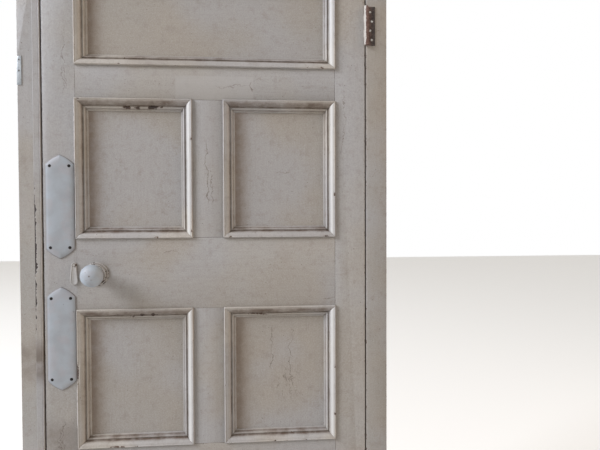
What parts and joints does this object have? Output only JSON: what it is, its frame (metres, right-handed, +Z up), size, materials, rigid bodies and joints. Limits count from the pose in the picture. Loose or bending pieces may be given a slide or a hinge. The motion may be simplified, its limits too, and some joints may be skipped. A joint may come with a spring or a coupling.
{
  "type": "panelled front door",
  "caption": "Tall panelled timber door on two butt hinges in its frame, with bolection mouldings, mortice lock, china knobs, keyhole cover and finger plates.",
  "frame": {"origin": "middle of the threshold's underside, halfway through the frame's depth", "axes": "+Z up; +X across the doorway from the closing side to the hinge side; -Y towards the side that the leaf opens to"},
  "size_m": [0.929, 0.1632, 2.073],
  "materials": {
    "old_paint_framing": "old off-white gloss paint on softwood, speckled and crackled",
    "old_paint_panel": "old off-white gloss paint on softwood, brush marked",
    "old_paint_moulding": "old off-white gloss paint, grimy in the quirks and chipped",
    "old_paint_frame": "old off-white gloss paint on softwood",
    "rusty_steel": "rusted, with remains of white paint",
    "bright_screw": "zinc plated, dull",
    "galvanised_steel": "galvanised, dull",
    "dull_brass": "tarnished",
    "painted_brass": "thickly painted over, chipped",
    "iron_lock": "plain iron and steel, greasy",
    "white_china": "white glaze",
    "dark_screw": "blackened with age"
  },
  "bodies": {
    "frame": {"cover_bead": "old_paint_moulding", "closing_jamb": "old_paint_frame", "hinge_jamb": "old_paint_frame", "frame_head": "old_paint_frame", "threshold": "old_paint_frame", "stop_closing": "old_paint_frame", "stop_hinge": "old_paint_frame", "stop_head": "old_paint_frame", "strike_plate": "dull_brass", "fixing_plate": "galvanised_steel", "frame_screws": "bright_screw", "hinge_lower_frame_flap": "rusty_steel", "hinge_upper_frame_flap": "rusty_steel", "hinge_lower_pin": "rusty_steel", "hinge_upper_pin": "rusty_steel"},
    "knob": {"knob_front": "white_china", "knob_back": "white_china", "knob_necks": "dull_brass", "spindle": "iron_lock", "follower": "iron_lock"},
    "latch_bolt": {"latch_bolt": "iron_lock"},
    "dead_bolt": {"dead_bolt": "iron_lock"},
    "key_cover": {"key_cover": "painted_brass"},
    "leaf": {"back_escutcheon": "dull_brass", "back_mouldings": "old_paint_moulding", "bottom_rail": "old_paint_framing", "closing_stile": "old_paint_framing", "finger_plate_lower": "white_china", "finger_plate_screws": "dark_screw", "finger_plate_upper": "white_china", "frieze_rail": "old_paint_framing", "hinge_lower_leaf_flap": "rusty_steel", "hinge_stile": "old_paint_framing", "hinge_upper_leaf_flap": "rusty_steel", "key_escutcheon": "painted_brass", "leaf_screws": "rusty_steel", "lock_case": "iron_lock", "lock_forend": "dull_brass", "lock_rail": "old_paint_framing", "lower_rail": "old_paint_framing", "moulding_frieze": "old_paint_moulding", "moulding_lower_left": "old_paint_moulding", "moulding_lower_right": "old_paint_moulding", "moulding_middle_left": "old_paint_moulding", "moulding_middle_right": "old_paint_moulding", "moulding_upper_left": "old_paint_moulding", "moulding_upper_right": "old_paint_moulding", "muntin_lower": "old_paint_framing", "muntin_middle": "old_paint_framing", "muntin_upper": "old_paint_framing", "panel_frieze": "old_paint_panel", "panel_lower_left": "old_paint_panel", "panel_lower_right": "old_paint_panel", "panel_middle_left": "old_paint_panel", "panel_middle_right": "old_paint_panel", "panel_upper_left": "old_paint_panel", "panel_upper_right": "old_paint_panel", "rose_back": "painted_brass", "rose_front": "painted_brass", "top_rail": "old_paint_framing"}
  },
  "joints": [
    {"name": "door_swing", "type": "hinge", "parent": "frame", "child": "leaf", "pos_m": [0.4095, -0.0559, 0.034], "axis": [0, 0, 1], "range_deg": [0, 150]},
    {"name": "knob_turn", "type": "hinge", "parent": "leaf", "child": "knob", "pos_m": [-0.2785, -0.0285, 1.174], "axis": [0, -1, 0], "range_deg": [0, 45]},
    {"name": "latch_slide", "type": "slide", "parent": "leaf", "child": "latch_bolt", "axis": [-1, 0, 0], "range_m": [0, 0.013]},
    {"name": "dead_bolt_slide", "type": "slide", "parent": "leaf", "child": "dead_bolt", "axis": [-1, 0, 0], "range_m": [0, 0.013]},
    {"name": "cover_swing", "type": "hinge", "parent": "leaf", "child": "key_cover", "pos_m": [-0.333, -0.0535, 1.1975], "axis": [0, -1, 0], "range_deg": [-85, 12]}
  ],
  "couplings": [
    {"joint": "latch_slide", "follows": "knob_turn", "m_per_rad": 0.016552}
  ]
}
